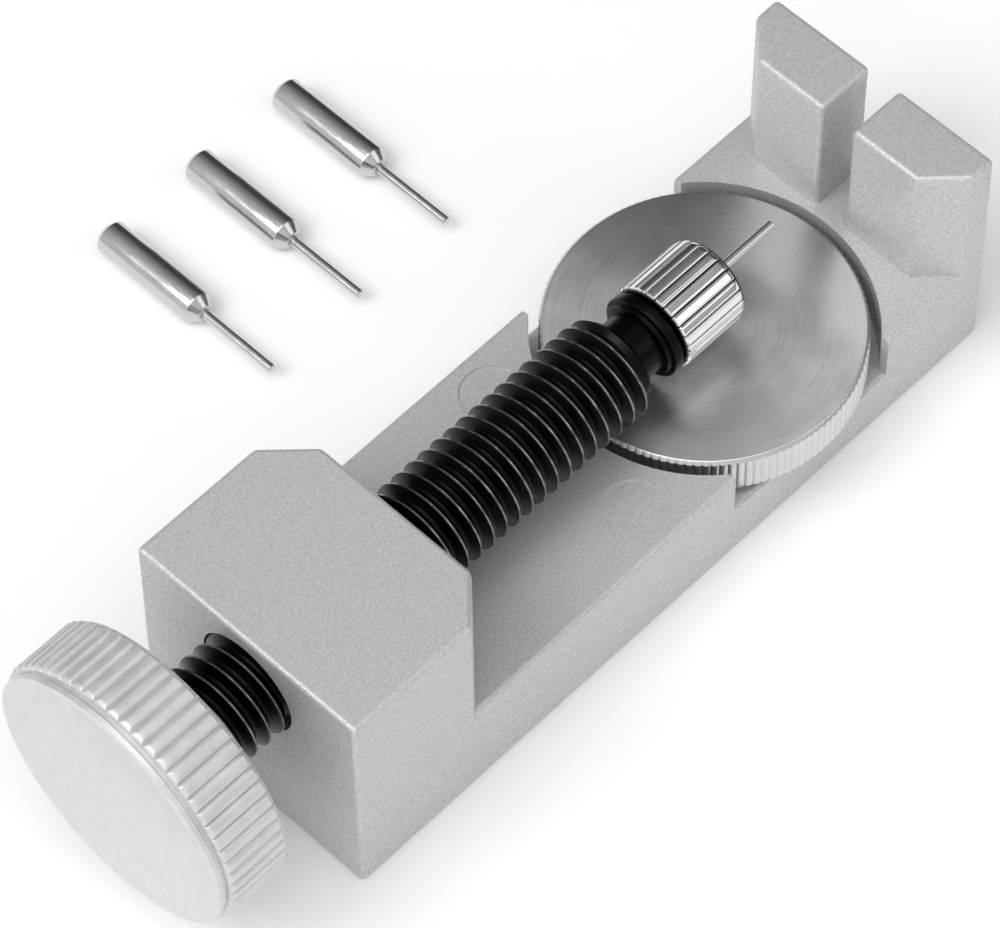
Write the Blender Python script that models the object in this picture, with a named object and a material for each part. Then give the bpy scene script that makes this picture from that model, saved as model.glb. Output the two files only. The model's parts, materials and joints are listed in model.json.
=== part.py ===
"""Screw press for the pins of watch bracelets, with three spare push pins.

A die-cast frame carries a long M8 screw in its rear post and a slotted pair of jaws at its
front end. The screw drives a thin needle through a bracelet link that lies on a round,
height-adjustable table between them. +X runs from the knob to the jaws, +Z is up, and the
origin is the middle of the frame's underside. Sizes are in millimetres.
"""

import math

import bmesh
import bpy
from mathutils import Matrix, Vector

MM = 0.001

# frame casting
FRAME_LENGTH = 62.8
FRAME_WIDTH = 20.6
BASE_HEIGHT = 9.2
POST_LENGTH = 14.2
POST_HEIGHT = 20.2
POST_CORNER = 3.2
JAW_LENGTH = 5.0
JAW_HEIGHT = 20.8
JAW_CORNER = 2.8
SLOT_WIDTH = 2.7
WALL_LEAN = 0.008
EJECTOR_RADIUS = 2.4
EJECTOR_DEPTH = 0.12
EJECTOR_FROM_SIDE = 3.5
EJECTOR_FROM_POCKET = 2.0

# round table and its threaded stem
WHEEL_RADIUS = 11.7
WHEEL_THICKNESS = 3.6
WHEEL_PROUD = 0.2
WHEEL_CHAMFER = 0.3
WHEEL_RIBS = 120
WHEEL_RIB_DEPTH = 0.16
WHEEL_SKIN = 1.2
POCKET_CLEARANCE = 0.75
POCKET_FLOOR_GAP = 0.6
POCKET_TO_JAW = 0.6
SIDE_OPENING = 15.8
OPENING_WALL = 0.4
STEM_RADIUS = 3.0
STEM_PITCH = 1.0
STEM_THREAD_DEPTH = 0.6
STEM_RECESS = 0.8

# main screw
SCREW_HEIGHT = 14.8
THREAD_RADIUS = 4.0
THREAD_PITCH = 1.25
THREAD_DEPTH = 0.7
BORE_CLEARANCE = 0.15
NECK_LENGTH = 2.1
NECK_WALL = 1.05
COLLAR_LENGTH = 1.5
COLLAR_STEP = 0.1
NOSE_LENGTH = 4.0
NOSE_WALL = 1.2

# knob
KNOB_RADIUS = 10.7
KNOB_LENGTH = 6.0
KNOB_GAP = 6.7
KNOB_FLUTES = 58
KNOB_FLUTE_DEPTH = 0.45
KNOB_RIM = 0.5
KNOB_FACE_WALL = 1.6
SPIGOT_RADIUS = 2.9

# chuck nut
NUT_LENGTH = 6.2
NUT_WALL = 0.8
NUT_FRONT_WALL = 0.9
NUT_BEVEL = 0.9
NUT_RIBS = 24
NUT_RIB_DEPTH = 0.22

# push pins: the one in the chuck and the three spare ones
PIN_RADIUS = 1.35
PIN_LENGTH = 10.2
PIN_CHAMFER = 0.35
PIN_SHOULDER = 0.6
PIN_BOSS_LENGTH = 0.2
PIN_BOSS_RADIUS = 0.8
NEEDLE_RADIUS = 0.38
NEEDLE_LENGTH = 6.9
NEEDLE_SEAT = 3.0
NEEDLE_TO_JAW = 6.4
SPARE_PINS = 3
SPARE_SPACING = 8.95
SPARE_FROM_REAR = 24.6
SPARE_FROM_FRAME = 13.0

# gaps between pieces that touch: fixed fits and running fits
FIT = 0.05
RUNNING_FIT = 0.1

ROUND_SIDES = 48
SCREW_SIDES = 24
PIN_SIDES = 20
NEEDLE_SIDES = 12
SHARP_ANGLE = math.radians(35)

# places along X
REAR_X = -FRAME_LENGTH / 2
FRONT_X = FRAME_LENGTH / 2
POST_FACE_X = REAR_X + POST_LENGTH
JAW_FACE_X = FRONT_X - JAW_LENGTH
POCKET_RADIUS = WHEEL_RADIUS + POCKET_CLEARANCE
WHEEL_X = JAW_FACE_X - POCKET_TO_JAW - POCKET_RADIUS
TIP_X = JAW_FACE_X - NEEDLE_TO_JAW
SHOULDER_X = TIP_X - NEEDLE_LENGTH
PIN_TAIL_X = SHOULDER_X - PIN_LENGTH
NUT_FRONT_X = SHOULDER_X + FIT + NUT_FRONT_WALL
NUT_REAR_X = NUT_FRONT_X - NUT_LENGTH
NOSE_END_X = NUT_REAR_X + NOSE_LENGTH
COLLAR_X = NUT_REAR_X - FIT - COLLAR_LENGTH
THREAD_END_X = COLLAR_X - NECK_LENGTH
KNOB_INNER_X = REAR_X - KNOB_GAP
KNOB_OUTER_X = KNOB_INNER_X - KNOB_LENGTH
THREAD_START_X = KNOB_INNER_X + FIT

# heights
WHEEL_TOP_Z = BASE_HEIGHT + WHEEL_PROUD
WHEEL_UNDER_Z = WHEEL_TOP_Z - WHEEL_THICKNESS
POCKET_FLOOR_Z = WHEEL_UNDER_Z - POCKET_FLOOR_GAP
STEM_TOP_Z = WHEEL_TOP_Z - WHEEL_SKIN - FIT

# radii that follow from what is inside
PIN_BORE = PIN_RADIUS + FIT
NOSE_RADIUS = PIN_BORE + NOSE_WALL
NUT_BORE = NOSE_RADIUS + FIT
NUT_RADIUS = NUT_BORE + NUT_WALL
COLLAR_RADIUS = NUT_RADIUS - COLLAR_STEP
NECK_RADIUS = PIN_BORE + NECK_WALL
STEM_BORE = STEM_RADIUS + RUNNING_FIT

SCREW_AXIS = Vector((0, 0, SCREW_HEIGHT))
ALONG_X = Matrix.Identity(4)
ALONG_Z = Matrix.Rotation(-math.pi / 2, 4, "Y")
ALONG_MINUS_Y = Matrix.Rotation(-math.pi / 2, 4, "Z")


def metal(name, colour, roughness, metallic=1.0):
    """A Principled metal of one colour."""
    material = bpy.data.materials.new(name)
    material.use_nodes = True
    shader = material.node_tree.nodes["Principled BSDF"]
    shader.inputs["Base Color"].default_value = (*colour, 1.0)
    shader.inputs["Roughness"].default_value = roughness
    shader.inputs["Metallic"].default_value = metallic
    return material


def ring(bm, along, radius, sides, groove=0.0, pattern=(0,)):
    """A ring of points around +X. The pattern says which points lie in a groove."""
    points = []
    for i in range(sides):
        angle = 2 * math.pi * i / sides
        reach = radius - groove * pattern[i % len(pattern)]
        points.append(bm.verts.new((along, reach * math.cos(angle), reach * math.sin(angle))))
    return points


def skin(bm, one, other):
    """The band of faces between two rings with as many points as each other."""
    for i in range(len(one)):
        j = (i + 1) % len(one)
        bm.faces.new((one[i], one[j], other[j], other[i]))


def turn(bm, stations, sides, pattern=(0,), through=False):
    """A turned solid around +X through stations of (place, radius) or (place, radius, groove).

    With through, the last station joins the first one and leaves a hole along the axis.
    """
    rings = [ring(bm, *s[:2], sides, *s[2:], pattern=pattern) for s in stations]
    for one, other in zip(rings, rings[1:]):
        skin(bm, one, other)
    if through:
        skin(bm, rings[-1], rings[0])
    else:
        bm.faces.new(rings[0])
        bm.faces.new(rings[-1])


def helix(bm, start, end, radius, depth, pitch, sides):
    """A right-hand V thread around +X that fades into its root at both ends.

    Returns the ring of points at each end.
    """
    root = radius - depth
    made = {}

    def point(i, k):
        k += 2 * (i // sides)
        i %= sides
        along = min(max(start + pitch * (k / 2 + i / sides), start), end)
        height = min(depth * (k % 2), along - start, end - along)
        key = (i, round(along, 6), round(height, 6))
        if key not in made:
            angle = 2 * math.pi * i / sides
            reach = root + height
            made[key] = bm.verts.new((along, reach * math.cos(angle), reach * math.sin(angle)))
        return made[key]

    half_turns = 2 * math.ceil((end - start) / pitch)
    for k in range(-2, half_turns):
        for i in range(sides):
            corners = (point(i, k), point(i + 1, k), point(i + 1, k + 1), point(i, k + 1))
            corners = list(dict.fromkeys(corners))
            if len(corners) > 2:
                bm.faces.new(corners)
    first = [made[i, round(start, 6), 0.0] for i in range(sides)]
    last = [made[i, round(end, 6), 0.0] for i in range(sides)]
    return first, last


def piece(bm, name, material, origin=(0, 0, 0), placed=ALONG_X):
    """Makes the bmesh, drawn in millimetres around its own origin, an object at that origin."""
    bmesh.ops.transform(bm, matrix=Matrix.Scale(MM, 4) @ placed, verts=bm.verts)
    bmesh.ops.recalc_face_normals(bm, faces=bm.faces)
    mesh = bpy.data.meshes.new(name)
    bm.to_mesh(mesh)
    bm.free()
    mesh.materials.append(material)
    mesh.shade_smooth()
    mesh.set_sharp_from_angle(angle=SHARP_ANGLE)
    made = bpy.data.objects.new(name, mesh)
    made.location = Vector(origin) * MM
    bpy.context.scene.collection.objects.link(made)
    return made


def raise_faces(bm, faces, height, lean=0.0):
    """Extrudes faces upwards, with their long walls leaning in, and returns the top faces."""
    grown = bmesh.ops.extrude_face_region(bm, geom=faces)["geom"]
    for vert in (v for v in grown if isinstance(v, bmesh.types.BMVert)):
        vert.co.z += height
        if abs(vert.co.y) > SLOT_WIDTH:
            vert.co.y -= math.copysign(lean * height, vert.co.y)
    return [f for f in grown if isinstance(f, bmesh.types.BMFace)]


def cylinder(radius, start, end, sides=ROUND_SIDES):
    """A closed bmesh of a round bar along +X."""
    bm = bmesh.new()
    turn(bm, [(start, radius), (end, radius)], sides)
    return bm


def carve(target, cutter):
    """Takes the cutter's shape out of the target and removes the cutter."""
    modifier = target.modifiers.new("cut", "BOOLEAN")
    modifier.object = cutter
    modifier.operation = "DIFFERENCE"
    modifier.solver = "EXACT"
    seen = target.evaluated_get(bpy.context.evaluated_depsgraph_get())
    mesh = bpy.data.meshes.new_from_object(seen)
    target.modifiers.clear()
    target.data = mesh
    bpy.data.objects.remove(cutter)


def build_frame(material):
    """The casting: base, rear post, slotted jaws, table pocket and the two bores."""
    half = FRAME_WIDTH / 2
    post_side = POST_FACE_X - POST_CORNER
    jaw_side = JAW_FACE_X + JAW_CORNER
    gap = SLOT_WIDTH / 2
    bm = bmesh.new()
    corner = {}
    for name, x, y in (
            ("rear", REAR_X, half), ("post_side", post_side, half),
            ("post_face", POST_FACE_X, half - POST_CORNER), ("jaw_side", jaw_side, half),
            ("jaw_face", JAW_FACE_X, half - JAW_CORNER), ("front", FRONT_X, half),
            ("slot_mouth", JAW_FACE_X, gap), ("slot_end", FRONT_X, gap)):
        for sign in (-1, 1):
            corner[name, sign] = bm.verts.new((x, sign * y, 0))

    def outline(*names):
        """A face through points on the right side and back through those on the left."""
        right = [corner[name, -1] for name in names]
        left = [corner[name, 1] for name in reversed(names)]
        return bm.faces.new(right + left)

    outline("rear", "post_side", "post_face")
    outline("post_face", "post_side", "jaw_side", "jaw_face", "slot_mouth", "slot_end")
    for sign in (-1, 1):
        jaw = [corner[name, sign] for name in (
            "jaw_face", "jaw_side", "front", "slot_end", "slot_mouth")]
        bm.faces.new(jaw)
    bmesh.ops.recalc_face_normals(bm, faces=bm.faces)
    tops = raise_faces(bm, bm.faces[:], BASE_HEIGHT)
    for top in tops:
        middle = top.calc_center_median().x
        on_post = middle < post_side
        if on_post or middle > JAW_FACE_X:
            height = (POST_HEIGHT if on_post else JAW_HEIGHT) - BASE_HEIGHT
            raise_faces(bm, [top], height, WALL_LEAN)
            bm.faces.remove(top)
    frame = piece(bm, "frame", material)

    spot = (WHEEL_X, 0, 0)
    pocket = cylinder(POCKET_RADIUS, POCKET_FLOOR_Z, WHEEL_TOP_Z + 1, 2 * ROUND_SIDES)
    carve(frame, piece(pocket, "pocket_cutter", material, spot, ALONG_Z))
    # the thin tips of the pocket's wall at both sides are cut off square
    side = math.sqrt(POCKET_RADIUS ** 2 - SIDE_OPENING ** 2 / 4) - OPENING_WALL
    for sign in (-1, 1):
        opening = bmesh.new()
        bmesh.ops.create_cube(opening, size=1)
        for vert in opening.verts:
            vert.co.x *= SIDE_OPENING
            vert.co.y = sign * (side if vert.co.y < 0 else half + 1)
            vert.co.z = POCKET_FLOOR_Z if vert.co.z < 0 else WHEEL_TOP_Z + 1
        carve(frame, piece(opening, "opening_cutter", material, spot))
    stem_hole = cylinder(STEM_BORE, -1, POCKET_FLOOR_Z + 1, SCREW_SIDES)
    carve(frame, piece(stem_hole, "stem_cutter", material, spot, ALONG_Z))
    bore = cylinder(THREAD_RADIUS + BORE_CLEARANCE, REAR_X - 1, POST_FACE_X + 1)
    carve(frame, piece(bore, "bore_cutter", material, SCREW_AXIS))
    for sign in (-1, 1):
        spot = (WHEEL_X - POCKET_RADIUS - EJECTOR_FROM_POCKET, sign * (half - EJECTOR_FROM_SIDE), 0)
        mark = cylinder(EJECTOR_RADIUS, BASE_HEIGHT - EJECTOR_DEPTH, BASE_HEIGHT + 1, SCREW_SIDES)
        carve(frame, piece(mark, "ejector_cutter", material, spot, ALONG_Z))
    frame.data.shade_smooth()
    frame.data.set_sharp_from_angle(angle=SHARP_ANGLE)
    return frame


def build_table(wheel_metal, stem_metal):
    """The round table with its ribbed rim, and the threaded stem that lifts it."""
    low, high = WHEEL_UNDER_Z, WHEEL_TOP_Z
    edge = WHEEL_RADIUS - WHEEL_CHAMFER
    bm = bmesh.new()
    turn(bm, [
        (STEM_TOP_Z + FIT, STEM_BORE), (low, STEM_BORE), (low, edge),
        (low + WHEEL_CHAMFER, WHEEL_RADIUS), (low + WHEEL_CHAMFER, WHEEL_RADIUS, WHEEL_RIB_DEPTH),
        (high - WHEEL_CHAMFER, WHEEL_RADIUS, WHEEL_RIB_DEPTH), (high - WHEEL_CHAMFER, WHEEL_RADIUS),
        (high, edge)], 2 * WHEEL_RIBS, pattern=(0, 1))
    bmesh.ops.remove_doubles(bm, verts=bm.verts, dist=0.0001)
    piece(bm, "support_wheel", wheel_metal, (WHEEL_X, 0, 0), ALONG_Z)

    bm = bmesh.new()
    first, last = helix(
        bm, STEM_RECESS, POCKET_FLOOR_Z, STEM_RADIUS, STEM_THREAD_DEPTH, STEM_PITCH, SCREW_SIDES)
    bm.faces.new(first)
    shank = [ring(bm, z, r, SCREW_SIDES) for z, r in (
        (WHEEL_UNDER_Z, STEM_RADIUS - STEM_THREAD_DEPTH), (WHEEL_UNDER_Z, STEM_RADIUS),
        (STEM_TOP_Z, STEM_RADIUS))]
    for one, other in zip([last] + shank, shank):
        skin(bm, one, other)
    bm.faces.new(shank[-1])
    piece(bm, "wheel_stem", stem_metal, (WHEEL_X, 0, 0), ALONG_Z)


def build_screw(material):
    """The long M8 screw: spigot for the knob, thread, neck, collar and hollow nose."""
    bm = bmesh.new()
    first, last = helix(
        bm, THREAD_START_X, THREAD_END_X, THREAD_RADIUS, THREAD_DEPTH, THREAD_PITCH, SCREW_SIDES)
    spigot = [ring(bm, x, SPIGOT_RADIUS, SCREW_SIDES) for x in (
        THREAD_START_X, KNOB_OUTER_X + KNOB_FACE_WALL + FIT)]
    skin(bm, first, spigot[0])
    skin(bm, spigot[0], spigot[1])
    bm.faces.new(spigot[1])

    collar_end = COLLAR_X + COLLAR_LENGTH
    collar_mid = COLLAR_X + COLLAR_LENGTH / 2
    front = [last] + [ring(bm, x, r, SCREW_SIDES) for x, r in (
        (THREAD_END_X, NECK_RADIUS), (COLLAR_X, NECK_RADIUS), (collar_mid, COLLAR_RADIUS),
        (collar_end, NOSE_RADIUS), (NOSE_END_X, NOSE_RADIUS), (NOSE_END_X, PIN_BORE),
        (PIN_TAIL_X - FIT, PIN_BORE))]
    for one, other in zip(front, front[1:]):
        skin(bm, one, other)
    bm.faces.new(front[-1])
    piece(bm, "main_screw", material, SCREW_AXIS)


def build_knob(material):
    """The fluted knob with its smooth rim, bored from its inner face for the spigot."""
    rim = KNOB_OUTER_X + KNOB_RIM
    inner = KNOB_INNER_X - KNOB_RIM / 2
    bore = SPIGOT_RADIUS + FIT
    bm = bmesh.new()
    turn(bm, [
        (KNOB_OUTER_X + KNOB_FACE_WALL, bore), (KNOB_INNER_X, bore),
        (KNOB_INNER_X, KNOB_RADIUS - KNOB_RIM), (inner, KNOB_RADIUS, KNOB_FLUTE_DEPTH),
        (rim, KNOB_RADIUS, KNOB_FLUTE_DEPTH), (rim, KNOB_RADIUS - KNOB_FLUTE_DEPTH),
        (KNOB_OUTER_X, KNOB_RADIUS - KNOB_FLUTE_DEPTH - KNOB_RIM)],
        3 * KNOB_FLUTES, pattern=(0, 0, 1))
    # where a smooth ring meets the ribs, their points fall on each other
    bmesh.ops.remove_doubles(bm, verts=bm.verts, dist=0.0001)
    piece(bm, "knob", material, SCREW_AXIS)


def build_nut(material):
    """The ribbed chuck nut that clamps the push pin in the nose of the screw."""
    needle_hole = NEEDLE_RADIUS + RUNNING_FIT
    ribs_end = NUT_FRONT_X - NUT_BEVEL
    bm = bmesh.new()
    turn(bm, [
        (NUT_REAR_X, NUT_BORE), (NUT_REAR_X, NUT_RADIUS - NUT_RIB_DEPTH),
        (NUT_REAR_X + NUT_RIB_DEPTH, NUT_RADIUS, NUT_RIB_DEPTH),
        (ribs_end, NUT_RADIUS, NUT_RIB_DEPTH), (ribs_end + NUT_RIB_DEPTH, NUT_RADIUS - NUT_RIB_DEPTH),
        (NUT_FRONT_X, NUT_RADIUS - NUT_BEVEL), (NUT_FRONT_X, needle_hole),
        (SHOULDER_X + FIT, needle_hole), (SHOULDER_X + FIT, PIN_BORE),
        (NOSE_END_X + FIT, PIN_BORE), (NOSE_END_X + FIT, NUT_BORE)],
        3 * NUT_RIBS, pattern=(0, 0, 1), through=True)
    piece(bm, "chuck_nut", material, SCREW_AXIS)


def build_pin(label, body_metal, needle_metal, shoulder, placed):
    """A push pin: its body ends at the shoulder, from which the needle stands out."""
    seat = NEEDLE_RADIUS + FIT
    cone = -PIN_BOSS_LENGTH - PIN_SHOULDER
    bm = bmesh.new()
    turn(bm, [
        (-PIN_LENGTH, PIN_RADIUS - PIN_CHAMFER), (PIN_CHAMFER - PIN_LENGTH, PIN_RADIUS),
        (cone, PIN_RADIUS), (-PIN_BOSS_LENGTH, PIN_BOSS_RADIUS), (0, PIN_BOSS_RADIUS),
        (0, seat), (-NEEDLE_SEAT - FIT, seat)], PIN_SIDES)
    piece(bm, label + "_body", body_metal, shoulder, placed)
    needle = cylinder(NEEDLE_RADIUS, -NEEDLE_SEAT, NEEDLE_LENGTH, NEEDLE_SIDES)
    piece(needle, label + "_needle", needle_metal, shoulder, placed)


def build():
    for old in list(bpy.data.objects):
        bpy.data.objects.remove(old)
    cast = metal("cast_zinc", (0.52, 0.52, 0.53), 0.55)
    turned = metal("turned_steel", (0.70, 0.70, 0.68), 0.3)
    aluminium = metal("satin_aluminium", (0.80, 0.80, 0.79), 0.4)
    chrome = metal("chrome", (0.85, 0.85, 0.86), 0.1)
    black = metal("black_oxide", (0.02, 0.02, 0.02), 0.3)
    polished = metal("polished_steel", (0.68, 0.68, 0.69), 0.2)

    build_frame(cast)
    build_table(turned, polished)
    build_screw(black)
    build_knob(aluminium)
    build_nut(chrome)
    shoulder = SCREW_AXIS + Vector((SHOULDER_X, 0, 0))
    build_pin("push_pin", polished, polished, shoulder, ALONG_X)
    for i in range(SPARE_PINS):
        spot = (
            REAR_X + SPARE_FROM_REAR + i * SPARE_SPACING,
            FRAME_WIDTH / 2 + SPARE_FROM_FRAME + NEEDLE_LENGTH,
            PIN_RADIUS)
        build_pin(f"spare_pin_{i + 1}", polished, polished, spot, ALONG_MINUS_Y)


build()
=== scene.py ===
import json
import math

import bmesh
import bpy
from mathutils import Matrix, Vector


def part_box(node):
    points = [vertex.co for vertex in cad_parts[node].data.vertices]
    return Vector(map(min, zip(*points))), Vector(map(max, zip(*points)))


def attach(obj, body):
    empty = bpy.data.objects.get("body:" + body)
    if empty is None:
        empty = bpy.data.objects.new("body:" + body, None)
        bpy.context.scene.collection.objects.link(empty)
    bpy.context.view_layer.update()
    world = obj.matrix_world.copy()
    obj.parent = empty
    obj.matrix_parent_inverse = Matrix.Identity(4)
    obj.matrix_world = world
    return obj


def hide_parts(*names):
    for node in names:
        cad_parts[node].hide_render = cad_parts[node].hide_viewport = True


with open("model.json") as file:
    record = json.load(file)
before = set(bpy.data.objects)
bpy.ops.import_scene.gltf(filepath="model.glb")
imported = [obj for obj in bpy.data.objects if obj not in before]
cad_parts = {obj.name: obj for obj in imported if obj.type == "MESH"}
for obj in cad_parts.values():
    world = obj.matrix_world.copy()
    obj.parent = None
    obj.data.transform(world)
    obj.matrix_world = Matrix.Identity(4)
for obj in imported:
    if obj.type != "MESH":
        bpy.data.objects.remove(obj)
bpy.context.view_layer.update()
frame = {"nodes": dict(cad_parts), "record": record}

MM = 0.001
UP = Vector((0, 0, 1))
ALONG = Vector((1, 0, 0))


# ---- Studio -----------------------------------------------------------------------------
# A white sheet under a broad soft ceiling and a key light over the knob, with a weak lamp
# beside the tool and a narrow one beyond it. The room is dark beyond the jaws, which gives
# the polished pieces their dark bands.
CAMERA_AZIMUTH = math.radians(-45.438)
CAMERA_ELEVATION = math.radians(57.327)
CAMERA_ROLL = math.radians(-0.604)
CAMERA_DISTANCE = 385.1 * MM
CAMERA_TARGET = Vector((-4.62, 2.64, 8.6)) * MM
CAMERA_LENS = 200.0
SHEET_SIZE = 3.0
SHEET_DROP = 0.05 * MM
SHEET_GLOW = 0.05
ROOM_BRIGHT_SIDE = (-0.78, -0.38, 0.25)
ROOM_DARKEST = 0.07
ROOM_BRIGHTEST = 0.85
# each lamp's name, spot, target, size and power
LAMPS = (
    ("ceiling", (-0.36, -0.12, 0.80), (-0.36, -0.12, 0), (0.85, 0.75), 3.2),
    ("key", (-0.62, 0.20, 0.80), (0, 0, 0), (0.44, 0.5), 3.2),
    ("side", (0.20, -0.25, 0.22), (0.07, -0.06, 0), (0.2, 0.2), 0.12),
    ("strip", (0.35, 0.02, 0.80), (0, 0, 0), (0.06, 0.50), 0.10))


def link(tree, output, target):
    """Joins a node's output to a socket, or sets the socket to a plain value."""
    if isinstance(output, bpy.types.NodeSocket):
        tree.links.new(output, target)
    else:
        target.default_value = output


def add(tree, kind, inputs=None, **settings):
    """Adds a shader node with its settings, and feeds its inputs by name or number."""
    made = tree.nodes.new("ShaderNode" + kind)
    for name, value in settings.items():
        setattr(made, name, value)
    for name, value in (inputs or {}).items():
        link(tree, value, made.inputs[name])
    return made


def aimed(spot, target):
    """The turn that points a light or a camera at its target."""
    return (spot - target).to_track_quat("Z", "Y").to_matrix().to_4x4()


def soft_light(name, spot, target, size, power):
    """A rectangular area light that shines from its spot at a target."""
    lamp = bpy.data.lights.new(name, "AREA")
    lamp.shape = "RECTANGLE"
    lamp.size, lamp.size_y = size
    lamp.energy = power
    made = bpy.data.objects.new(name, lamp)
    made.matrix_world = Matrix.Translation(spot) @ aimed(spot, target)
    bpy.context.scene.collection.objects.link(made)


back = Vector((
    math.sin(CAMERA_AZIMUTH) * math.cos(CAMERA_ELEVATION),
    -math.cos(CAMERA_AZIMUTH) * math.cos(CAMERA_ELEVATION),
    math.sin(CAMERA_ELEVATION)))
camera_spot = CAMERA_TARGET + back * CAMERA_DISTANCE
lens = bpy.data.cameras.new("camera")
lens.lens = CAMERA_LENS
lens.clip_start = 10 * MM
camera = bpy.data.objects.new("camera", lens)
camera.matrix_world = (
    Matrix.Translation(camera_spot) @ aimed(camera_spot, CAMERA_TARGET)
    @ Matrix.Rotation(CAMERA_ROLL, 4, "Z"))
bpy.context.scene.collection.objects.link(camera)
bpy.context.scene.camera = camera

sheet_form = bmesh.new()
bmesh.ops.create_grid(sheet_form, x_segments=1, y_segments=1, size=SHEET_SIZE / 2)
bmesh.ops.translate(sheet_form, vec=(0, 0, -SHEET_DROP), verts=sheet_form.verts)
sheet_mesh = bpy.data.meshes.new("paper_sheet")
sheet_form.to_mesh(sheet_mesh)
sheet_form.free()
sheet = bpy.data.objects.new("paper_sheet", sheet_mesh)
bpy.context.scene.collection.objects.link(sheet)
paper = bpy.data.materials.new("white_paper")
paper.use_nodes = True
paper_shader = paper.node_tree.nodes["Principled BSDF"]
paper_shader.inputs["Base Color"].default_value = (0.93, 0.93, 0.93, 1)
paper_shader.inputs["Roughness"].default_value = 0.9
paper_shader.inputs["Specular IOR Level"].default_value = 0.1
paper_shader.inputs["Emission Color"].default_value = (1, 1, 1, 1)
paper_shader.inputs["Emission Strength"].default_value = SHEET_GLOW
sheet_mesh.materials.append(paper)

room = bpy.data.worlds.new("room")
room.use_nodes = True
room_tree = room.node_tree
room_tree.nodes.clear()
way = add(room_tree, "TexCoord").outputs["Generated"]
away_from_jaws = add(
    room_tree, "VectorMath", {0: way, 1: ROOM_BRIGHT_SIDE}, operation="DOT_PRODUCT")
wall_light = add(room_tree, "MapRange", {
    "Value": away_from_jaws.outputs["Value"], "From Min": -0.6, "From Max": 0.8,
    "To Min": ROOM_DARKEST, "To Max": ROOM_BRIGHTEST})
glow = add(room_tree, "Background", {
    "Color": (1, 1, 1, 1), "Strength": wall_light.outputs["Result"]})
add(room_tree, "OutputWorld", {"Surface": glow.outputs["Background"]})
bpy.context.scene.world = room

for name, spot, target, size, power in LAMPS:
    soft_light(name, Vector(spot), Vector(target), size, power)
bpy.context.scene.view_settings.view_transform = "Standard"


# ---- Frame casting ----------------------------------------------------------------------
# One zinc die casting, tumbled and blasted to a fine matte grain: base, rear post and two
# jaws with a slot between them. The round pocket and the bores are cut after casting.
CAST_EDGE = 0.4 * MM
SMALLEST_FLAT = 10 * MM * MM
SHARP = math.radians(34)


def metal(name, slot, roughness, **sockets):
    """A new metal in the colour that the record gives its slot."""
    made = bpy.data.materials.new(name)
    made.use_nodes = True
    shader = made.node_tree.nodes["Principled BSDF"]
    rows = {row["slot"]: row["base_color"] for row in frame["record"]["materials"]}
    shader.inputs["Base Color"].default_value = (*rows[slot][:3], 1)
    shader.inputs["Metallic"].default_value = 1.0
    shader.inputs["Roughness"].default_value = roughness
    for socket, value in sockets.items():
        shader.inputs[socket.replace("_", " ")].default_value = value
    return made, made.node_tree, shader


def varied(tree, shader, pattern, colours, roughnesses, span=(0.3, 0.7)):
    """Lets a pattern between 0 and 1 vary the colour and the roughness of a metal."""
    share = add(tree, "MapRange", {
        "Value": pattern, "From Min": span[0], "From Max": span[1]}).outputs["Result"]
    shade = add(tree, "Mix", data_type="RGBA")
    link(tree, share, shade.inputs[0])
    link(tree, (*colours[0], 1), shade.inputs[6])
    link(tree, (*colours[1], 1), shade.inputs[7])
    link(tree, shade.outputs[2], shader.inputs["Base Color"])
    rough = add(tree, "MapRange", {
        "Value": pattern, "From Min": span[0], "From Max": span[1],
        "To Min": roughnesses[0], "To Max": roughnesses[1]})
    link(tree, rough.outputs["Result"], shader.inputs["Roughness"])


def noise(tree, place, grain, detail=2.0):
    """Noise whose blobs are about one grain across, in metres."""
    return add(tree, "TexNoise", {
        "Vector": place, "Scale": 1 / grain, "Detail": detail}).outputs["Fac"]


def bumped(tree, shader, height, depth, below=None):
    """Presses a height pattern into the surface, on top of another one."""
    bump = add(tree, "Bump", {"Height": height, "Distance": depth, "Strength": 1.0})
    if below is not None:
        link(tree, below, bump.inputs["Normal"])
    link(tree, bump.outputs["Normal"], shader.inputs["Normal"])
    return bump.outputs["Normal"]


def cast_metal():
    """Blasted zinc: a fine speckled grain over the very slight waves of a casting."""
    made, tree, shader = metal("blasted_zinc", "cast_zinc", 0.48, Metallic=0.4)
    place = add(tree, "TexCoord").outputs["Object"]
    speckle = noise(tree, place, 0.18 * MM, 3.0)
    varied(
        tree, shader, speckle, ((0.475, 0.475, 0.48), (0.61, 0.61, 0.615)), (0.54, 0.42),
        (0.35, 0.65))
    waves = bumped(tree, shader, noise(tree, place, 5 * MM), 0.012 * MM)
    grain = bumped(tree, shader, noise(tree, place, 0.22 * MM), 0.009 * MM, waves)
    bumped(tree, shader, noise(tree, place, 0.11 * MM), 0.006 * MM, grain)
    return made


def hand_over(form, name, body, material, slot, *nodes):
    """Makes a bmesh a piece that rides on its body in the place of its CAD nodes."""
    form.normal_update()
    for face in form.faces:
        face.smooth = True
    for edge in form.edges:
        edge.smooth = edge.calc_face_angle(0.0) < SHARP
    mesh = bpy.data.meshes.new(name)
    form.to_mesh(mesh)
    form.free()
    mesh.materials.append(material)
    made = bpy.data.objects.new(name, mesh)
    bpy.context.scene.collection.objects.link(made)
    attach(made, body)
    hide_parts(*nodes)
    return made


def sharp_edges(form, angle=math.radians(25)):
    """The outer edges of a form that turn by more than the angle."""
    return [
        e for e in form.edges
        if len(e.link_faces) == 2 and e.is_convex and e.calc_face_angle() > angle]


def soften(form, edges, width, segments=3):
    """Rounds edges."""
    bmesh.ops.bevel(
        form, geom=edges, offset=width, segments=segments, profile=0.5, affect="EDGES",
        material=-1, clamp_overlap=True)


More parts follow.
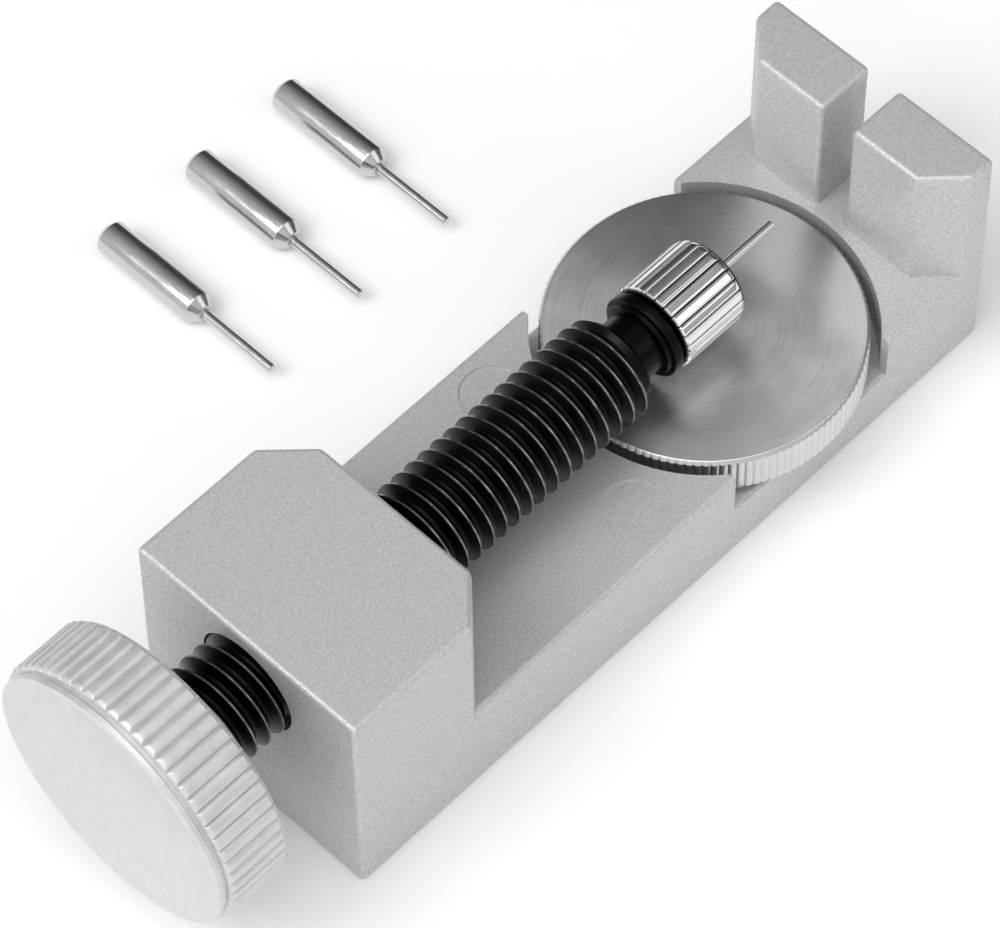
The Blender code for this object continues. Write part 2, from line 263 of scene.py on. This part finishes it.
casting_form = bmesh.new()
casting_form.from_mesh(frame["nodes"]["frame"].data)
bmesh.ops.remove_doubles(casting_form, verts=casting_form.verts, dist=0.002 * MM)
bmesh.ops.dissolve_limit(
    casting_form, angle_limit=math.radians(0.4), verts=casting_form.verts,
    edges=casting_form.edges)
cast_edges = [
    e for e in sharp_edges(casting_form)
    if min(f.calc_area() for f in e.link_faces) > SMALLEST_FLAT]
soften(casting_form, cast_edges, CAST_EDGE)
blasted = cast_metal()
casting = hand_over(casting_form, "frame_casting", "base", blasted, "cast_zinc", "frame")
flat_shading = casting.modifiers.new("flat_shading", "WEIGHTED_NORMAL")
flat_shading.keep_sharp = True


# ---- Table stem -------------------------------------------------------------------------
# The M6 steel stem under the table. Its thread runs in the base, so turning the table
# raises or lowers it, and its end shows in the hole in the underside.
STEM_PITCH = 1.0 * MM
STEM_DEPTH = 0.6 * MM
STEM_UNTHREADED = 0.7 * MM
THREAD_OUTLINE = (
    (0.0, 0.0), (0.09, 0.0), (0.14, 0.05), (0.42, 0.94), (0.45, 1.0), (0.55, 1.0),
    (0.58, 0.94), (0.86, 0.05), (0.91, 0.0), (1.0, 0.0))
THREAD_STEPS = 64


def reach(vert, centre, axis):
    """A point's place along an axis, its distance from it, and the way out to it."""
    offset = vert.co - centre
    along = offset.dot(axis)
    out = offset - axis * along
    return along, out.length, out.normalized()


def threaded(centre, axis, start, end, radius, depth, pitch):
    """A right-hand thread, open at both ends, with a chamfered lead at each."""
    form = bmesh.new()
    side = axis.orthogonal().normalized()
    root = radius - depth
    outline = [
        form.verts.new(centre + axis * (start + (t - 1) * pitch) + side * (root + h * depth))
        for t, h in THREAD_OUTLINE]
    edges = [form.edges.new(pair) for pair in zip(outline, outline[1:])]
    turns = math.ceil((end - start) / pitch) + 2
    bmesh.ops.spin(
        form, geom=outline + edges, cent=centre, axis=axis, angle=2 * math.pi * turns,
        dvec=axis * (pitch / THREAD_STEPS), steps=THREAD_STEPS * turns, use_merge=False)
    bmesh.ops.remove_doubles(form, verts=form.verts, dist=0.001 * MM)
    for place, way in ((start, -axis), (end, axis)):
        everything = form.verts[:] + form.edges[:] + form.faces[:]
        bmesh.ops.bisect_plane(
            form, geom=everything, plane_co=centre + axis * place, plane_no=way,
            dist=0.0001 * MM, clear_outer=True)
    for vert in form.verts:
        along, distance, out = reach(vert, centre, axis)
        limit = root + max(min(along - start, end - along), 0.0)
        if distance > limit:
            vert.co -= out * (distance - limit)
    return form


def open_ring(form, centre, axis, place):
    """The open edges of a form that lie in the plane across its axis at a place."""
    def near(vert):
        return abs((vert.co - centre).dot(axis) - place) < 0.01 * MM
    return [e for e in form.edges if e.is_boundary and all(near(v) for v in e.verts)]


def stepped(form, ring, centre, axis, stations):
    """Extrudes a ring of edges through (place, radius) stations and closes the last one."""
    for place, radius in stations:
        grown = bmesh.ops.extrude_edge_only(form, edges=ring)["geom"]
        for vert in (g for g in grown if isinstance(g, bmesh.types.BMVert)):
            vert.co = centre + axis * place + reach(vert, centre, axis)[2] * radius
        ring = [g for g in grown if isinstance(g, bmesh.types.BMEdge) and g.is_boundary]
    bmesh.ops.edgeloop_fill(form, edges=ring)
    bmesh.ops.recalc_face_normals(form, faces=form.faces)


stem_low, stem_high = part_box("wheel_stem")
table_low, table_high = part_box("support_wheel")
table_middle = (table_low + table_high) / 2
table_axis = Vector((table_middle.x, table_middle.y, 0))
stem_radius = (stem_high.x - stem_low.x) / 2
stem_top_thread = table_low.z - STEM_UNTHREADED
stem_form = threaded(
    table_axis, UP, stem_low.z, stem_top_thread, stem_radius, STEM_DEPTH, STEM_PITCH)
stem_root = stem_radius - STEM_DEPTH
stepped(
    stem_form, open_ring(stem_form, table_axis, UP, stem_top_thread), table_axis, UP,
    ((table_low.z, stem_root), (table_low.z, stem_radius), (stem_high.z, stem_radius)))
stepped(
    stem_form, open_ring(stem_form, table_axis, UP, stem_low.z), table_axis, UP,
    ((stem_low.z, 0.4 * stem_root),))


def from_axis(tree, place, centre, across):
    """How far a point lies from a line through the centre."""
    offset = add(tree, "VectorMath", {0: place, 1: centre}, operation="SUBTRACT")
    flat = add(
        tree, "VectorMath", {0: offset.outputs["Vector"], 1: across}, operation="MULTIPLY")
    return add(
        tree, "VectorMath", {0: flat.outputs["Vector"]}, operation="LENGTH").outputs["Value"]


def ground_steel():
    """Ground and polished steel: faint fine scratches under a clear shine."""
    made, tree, shader = metal("ground_steel", "polished_steel", 0.16)
    place = add(tree, "TexCoord").outputs["Object"]
    streaks = add(tree, "Mapping", {"Vector": place, "Scale": (1, 0.12, 1)})
    fine = noise(tree, streaks.outputs["Vector"], 0.12 * MM, 3.0)
    varied(tree, shader, fine, ((0.56, 0.56, 0.57), (0.66, 0.66, 0.67)), (0.13, 0.21))
    bumped(tree, shader, fine, 0.0012 * MM)
    return made


steel = ground_steel()
hand_over(stem_form, "table_stem", "lift", steel, "polished_steel", "wheel_stem")


# ---- Round table ------------------------------------------------------------------------
# A plated steel disc, faced in a lathe, which leaves fine rings and a fan-shaped sheen. Its
# chamfered rim has straight knurling for the fingers.
TABLE_CHAMFER = 0.28 * MM
TABLE_RIBS = 120
TABLE_RIB_DEPTH = 0.12 * MM
TURNING_FEED = 0.16 * MM
# gaps between pieces that touch: fixed fits and running fits
FIT = 0.05 * MM
RUNNING_FIT = 0.1 * MM


def turned(centre, axis, outline, steps):
    """Spins an outline of (place, radius) points round its axis."""
    form = bmesh.new()
    side = axis.orthogonal().normalized()
    points = [form.verts.new(centre + axis * a + side * r) for a, r in outline]
    edges = [form.edges.new(pair) for pair in zip(points, points[1:])]
    bmesh.ops.spin(
        form, geom=points + edges, cent=centre, axis=axis, angle=2 * math.pi, steps=steps,
        use_merge=True)
    bmesh.ops.remove_doubles(form, verts=form.verts, dist=0.0005 * MM)
    bmesh.ops.recalc_face_normals(form, faces=form.faces)
    return form


def spread(low, high, count):
    """Evenly spread values from low to high, both ends included."""
    return [low + (high - low) * i / count for i in range(count + 1)]


def knurl(form, centre, axis, outer, depth, count, roundness, start, end):
    """Rolls straight grooves into the outside between two places along the axis."""
    side = axis.orthogonal().normalized()
    other = axis.cross(side)
    for vert in form.verts:
        along, distance, out = reach(vert, centre, axis)
        if start <= along <= end and distance > outer - depth:
            turns = math.atan2(out.dot(other), out.dot(side)) / (2 * math.pi)
            across = 2 * abs((turns * count) % 1 - 0.5)
            limit = outer - depth * across ** roundness
            if distance > limit:
                vert.co -= out * (distance - limit)


def faced_steel():
    """Lathe-faced steel: rings of uneven depth and a sheen that fans out from the centre."""
    made, tree, shader = metal(
        "faced_steel", "turned_steel", 0.3, Anisotropic=0.75)
    place = add(tree, "TexCoord").outputs["Object"]
    rings = add(tree, "TexNoise", {
        "W": from_axis(tree, place, table_axis, (1, 1, 0)), "Scale": 1 / TURNING_FEED,
        "Detail": 3.0},
        noise_dimensions="1D").outputs["Fac"]
    cloud = noise(tree, place, 2.4 * MM, 3.0)
    both = add(tree, "Math", {0: rings, 1: cloud}, operation="ADD").outputs["Value"]
    varied(
        tree, shader, both, ((0.60, 0.60, 0.59), (0.70, 0.70, 0.685)), (0.29, 0.34),
        (0.7, 1.3))
    bumped(tree, shader, rings, 0.0008 * MM)
    tangent = add(tree, "Tangent", direction_type="RADIAL", axis="Z")
    link(tree, tangent.outputs["Tangent"], shader.inputs["Tangent"])
    return made


table_radius = (table_high.x - table_low.x) / 2
table_bore = stem_radius + RUNNING_FIT
table_rim = table_radius - TABLE_CHAMFER
table_outline = [
    (stem_high.z + FIT, 0), (stem_high.z + FIT, table_bore),
    (table_low.z, table_bore), (table_low.z, 0.55 * table_radius), (table_low.z, table_rim)]
table_outline += [
    (z, table_radius) for z in spread(
        table_low.z + TABLE_CHAMFER, table_high.z - TABLE_CHAMFER, 4)]
table_outline += [(table_high.z, table_rim), (table_high.z, 0)]
table_form = turned(table_axis, UP, table_outline, TABLE_RIBS * 6)
soften(table_form, sharp_edges(table_form, math.radians(35)), 0.04 * MM, 2)
knurl(
    table_form, table_axis, UP, table_radius, TABLE_RIB_DEPTH, TABLE_RIBS, 3,
    table_low.z, table_high.z - 0.4 * TABLE_CHAMFER)
faced = faced_steel()
hand_over(table_form, "round_table", "table", faced, "turned_steel", "support_wheel")


# ---- Main screw -------------------------------------------------------------------------
# The long M8 screw, blackened all over. In front of its thread it has a smooth neck, a
# collar, and a hollow nose that the chuck nut goes over.
SCREW_PITCH = 1.25 * MM
SCREW_DEPTH = 0.72 * MM
NECK_RADIUS = 2.45 * MM
NECK_LENGTH = 2.1 * MM
COLLAR_LENGTH = 1.5 * MM
COLLAR_STEP = 0.1 * MM
NOSE_WALL = 1.2 * MM
SPIGOT_RADIUS = 2.9 * MM
# the collar's outline, as places from one of its ends and depths below its full radius
COLLAR_REAR = ((0.05, 0.45), (0.35, 0.40), (0.40, 0.05), (0.50, 0.0))
COLLAR_FRONT = ((-0.35, 0.0), (-0.25, 0.12))


def blackened():
    """Black oxide with a slight oil shine, lighter steel on the thread's crests: partly wear
    rubbed through, partly a painted highlight.
    """
    made, tree, shader = metal("blackened_steel", "black_oxide", 0.3)
    place = add(tree, "TexCoord").outputs["Object"]
    radius = from_axis(tree, place, screw_centre, (0, 1, 1))
    crest_wear_and_highlight = noise(tree, place, 0.5 * MM, 3.0)
    # lighter steel on the crests, partly wear and partly a painted highlight
    wear_and_painted_light_radius = add(tree, "Math", {0: crest_wear_and_highlight, 1: 0.06 * MM, 2: radius}, operation="MULTIPLY_ADD")
    varied(
        tree, shader, wear_and_painted_light_radius.outputs["Value"], ((0.010, 0.010, 0.010), (0.30, 0.30, 0.30)),
        (0.30, 0.20), (screw_radius - 0.01 * MM, screw_radius + 0.045 * MM))
    bumped(tree, shader, noise(tree, place, 0.12 * MM), 0.002 * MM)
    return made


screw_low, screw_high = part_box("main_screw")
knob_low, knob_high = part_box("knob")
nut_low, nut_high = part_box("chuck_nut")
pin_low, pin_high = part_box("push_pin_body")
screw_centre = Vector((0, 0, (screw_low.z + screw_high.z) / 2))
screw_radius = (screw_high.z - screw_low.z) / 2
collar_end = nut_low.x - FIT
collar_start = collar_end - COLLAR_LENGTH
thread_end = collar_start - NECK_LENGTH
thread_start = knob_high.x + FIT
nut_radius = (nut_high.z - nut_low.z) / 2
collar_radius = nut_radius - COLLAR_STEP
nose_radius = (pin_high.z - pin_low.z) / 2 + NOSE_WALL
screw_form = threaded(
    screw_centre, ALONG, thread_start, thread_end, screw_radius, SCREW_DEPTH, SCREW_PITCH)
stepped(
    screw_form, open_ring(screw_form, screw_centre, ALONG, thread_start), screw_centre, ALONG,
    ((thread_start, SPIGOT_RADIUS), (screw_low.x, SPIGOT_RADIUS)))
screw_front = [(thread_end + 0.25 * MM, NECK_RADIUS), (collar_start, NECK_RADIUS)]
screw_front += [
    (end + place * MM, collar_radius - depth * MM)
    for end, outline in ((collar_start, COLLAR_REAR), (collar_end, COLLAR_FRONT))
    for place, depth in outline]
screw_front += [
    (collar_end - 0.15 * MM, nose_radius + 0.2 * MM), (collar_end, nose_radius),
    (screw_high.x, nose_radius)]
stepped(
    screw_form, open_ring(screw_form, screw_centre, ALONG, thread_end), screw_centre, ALONG,
    screw_front)
black = blackened()
hand_over(screw_form, "long_screw", "screw", black, "black_oxide", "main_screw")


# ---- Knob -------------------------------------------------------------------------------
# A satin aluminium knob pressed on the screw. Broad rounded flutes run over its edge and
# stop at a turned groove, and a smooth polished ring frames its flat face.
KNOB_FLUTES = 58
KNOB_FLUTE_DEPTH = 0.30 * MM
KNOB_RING = 0.55 * MM
KNOB_GROOVE = 0.5 * MM
KNOB_CHAMFER = 0.35 * MM
# the polished ring round the face, as places from its front and depths below the knob's radius
KNOB_FACE_RING = ((0.45, 0.35), (0.12, 0.42), (0.0, 0.75), (0.08, 0.95))
KNOB_FACE_DROP = 0.08 * MM


def satin():
    """Satin aluminium with a very fine turned grain."""
    made, tree, shader = metal("satin_aluminium", "satin_aluminium", 0.45, Metallic=0.5)
    place = add(tree, "TexCoord").outputs["Object"]
    cloud = noise(tree, place, 1.3 * MM, 4.0)
    varied(tree, shader, cloud, ((0.60, 0.597, 0.59), (0.67, 0.667, 0.66)), (0.40, 0.52))
    bumped(tree, shader, noise(tree, place, 0.14 * MM), 0.0025 * MM)
    return made


knob_radius = (knob_high.z - knob_low.z) / 2
ring_end = knob_low.x + KNOB_RING
flutes_start = ring_end + 0.25 * MM
bore_end = screw_low.x - FIT
knob_bore = SPIGOT_RADIUS + FIT
knob_outline = [
    (bore_end, 0), (bore_end, knob_bore), (knob_high.x, knob_bore),
    (knob_high.x, knob_radius - KNOB_CHAMFER)]
knob_outline += [
    (x, knob_radius) for x in spread(knob_high.x - KNOB_CHAMFER, flutes_start + KNOB_GROOVE, 6)]
knob_outline += [
    (flutes_start + KNOB_GROOVE * (1 - math.sin(a)),
     knob_radius - KNOB_GROOVE * (1 - math.cos(a)))
    for a in spread(0, math.pi / 2, 6)[1:]]
knob_outline += [(ring_end, knob_radius - KNOB_GROOVE)]
knob_outline += [
    (knob_low.x + place * MM, knob_radius - depth * MM) for place, depth in KNOB_FACE_RING]
knob_outline += [(knob_low.x + KNOB_FACE_DROP, 0)]
knob_form = turned(screw_centre, ALONG, knob_outline, KNOB_FLUTES * 12)
knurl(
    knob_form, screw_centre, ALONG, knob_radius, KNOB_FLUTE_DEPTH, KNOB_FLUTES, 4,
    flutes_start, knob_high.x)
satined = satin()
hand_over(knob_form, "fluted_knob", "screw", satined, "satin_aluminium", "knob")


# ---- Chuck nut --------------------------------------------------------------------------
# A small chromed nut with flat ribs and thin grooves. It screws over the nose and holds the
# push pin by its shoulder, and its smooth bevelled front has a hole for the needle.
NUT_RIBS = 24
NUT_RIB_DEPTH = 0.26 * MM
NUT_BEVEL = 0.9 * MM


def chromed():
    """Bright chrome plate with a faint wave, and painted shade that makes it near black below
    the tops of the ribs, in the grooves and on the bevels.
    """
    made, tree, shader = metal("bright_chrome", "chrome_plate", 0.07)
    place = add(tree, "TexCoord").outputs["Object"]
    radius = from_axis(tree, place, screw_centre, (0, 1, 1))
    cloud = noise(tree, place, 0.7 * MM, 3.0)
    # painted shade: near black below the rib tops, in the grooves and on the bevelled ends
    wear_and_painted_light_radius = add(tree, "Math", {0: cloud, 1: 0.03 * MM, 2: radius}, operation="MULTIPLY_ADD")
    varied(
        tree, shader, wear_and_painted_light_radius.outputs["Value"], ((0.03, 0.03, 0.035), (0.82, 0.82, 0.84)),
        (0.3, 0.07), (nut_radius - 0.16 * MM, nut_radius - 0.05 * MM))
    bumped(tree, shader, noise(tree, place, 0.5 * MM), 0.003 * MM)
    return made


needle_low, needle_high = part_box("push_pin_needle")
needle_radius = (needle_high.z - needle_low.z) / 2
front_wall = pin_high.x + FIT
nut_bore = nose_radius + FIT
needle_hole = needle_radius + RUNNING_FIT
ribs_end = nut_high.x - NUT_BEVEL
nut_outline = [
    (nut_low.x, nut_bore), (nut_low.x, nut_radius - 0.25 * MM)]
nut_outline += [(x, nut_radius) for x in spread(nut_low.x + 0.2 * MM, ribs_end, 6)]
nut_outline += [
    (ribs_end + NUT_BEVEL * math.sin(a), nut_radius - 1.15 * NUT_BEVEL * (1 - math.cos(a)))
    for a in spread(0, math.pi / 2, 8)[1:]]
nut_outline += [
    (nut_high.x, needle_radius + 0.25 * MM), (nut_high.x - 0.15 * MM, needle_hole),
    (front_wall, needle_hole), (front_wall, nut_bore),
    (nut_low.x, nut_bore)]
nut_form = turned(screw_centre, ALONG, nut_outline, NUT_RIBS * 18)
knurl(
    nut_form, screw_centre, ALONG, nut_radius, NUT_RIB_DEPTH, NUT_RIBS, 7, nut_low.x,
    nut_high.x)
chrome = chromed()
hand_over(nut_form, "ribbed_chuck_nut", "screw", chrome, "chrome_plate", "chuck_nut")


# ---- Push pins --------------------------------------------------------------------------
# A hardened needle pressed into a round steel body with a chamfered tail and a coned
# shoulder. One pin is in the chuck, where only its needle shows, and three lie beside it.
PIN_CHAMFER = 0.4 * MM
PIN_CONE = 0.68 * MM
PIN_BOSS = 0.8 * MM
NEEDLE_BREAK = 0.05 * MM


def pin_body_outline(length, radius):
    """From the tail's middle to the needle's seat in the shoulder."""
    outline = [(-length, 0), (-length, radius - PIN_CHAMFER)]
    outline += [(x, radius) for x in spread(PIN_CHAMFER - length, -PIN_CONE - 0.12 * MM, 3)]
    outline += [(-0.12 * MM, PIN_BOSS), (0, PIN_BOSS - 0.08 * MM), (0, needle_radius)]
    return outline + [(-0.5 * MM, needle_radius), (-0.5 * MM, 0)]


def needle_outline(seat, length, radius):
    """From the seat's middle to the tip, whose edge is broken."""
    return [
        (-seat, 0), (-seat, radius), (length - NEEDLE_BREAK, radius),
        (length, radius - NEEDLE_BREAK), (length, 0)]


def push_pin(label, body, shoulder, axis, length, radius, needle_length, with_body=True):
    """Makes a pin's pieces: its body, where it shows, and its needle."""
    if with_body:
        form = turned(shoulder, axis, pin_body_outline(length, radius), 64)
        soften(form, sharp_edges(form), 0.06 * MM, 3)
        hand_over(form, label + "_shank", body, steel, "polished_steel", label + "_body")
    form = turned(
        shoulder, axis, needle_outline(0.45 * MM, needle_length, needle_radius - 0.02 * MM), 32)
    hand_over(form, label + "_point", body, steel, "polished_steel", label + "_needle")


pin_radius = (pin_high.z - pin_low.z) / 2
pin_length = pin_high.x - pin_low.x
needle_length = needle_high.x - pin_high.x
push_pin(
    "push_pin", "push_pin", screw_centre + ALONG * pin_high.x, ALONG, pin_length, pin_radius,
    needle_length, with_body=False)
frame["nodes"]["push_pin_body"].data.materials.clear()
frame["nodes"]["push_pin_body"].data.materials.append(steel)
for number in (1, 2, 3):
    label = f"spare_pin_{number}"
    low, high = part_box(label + "_body")
    shoulder = Vector(((low.x + high.x) / 2, low.y, (low.z + high.z) / 2))
    push_pin(label, label, shoulder, Vector((0, -1, 0)), pin_length, pin_radius, needle_length)
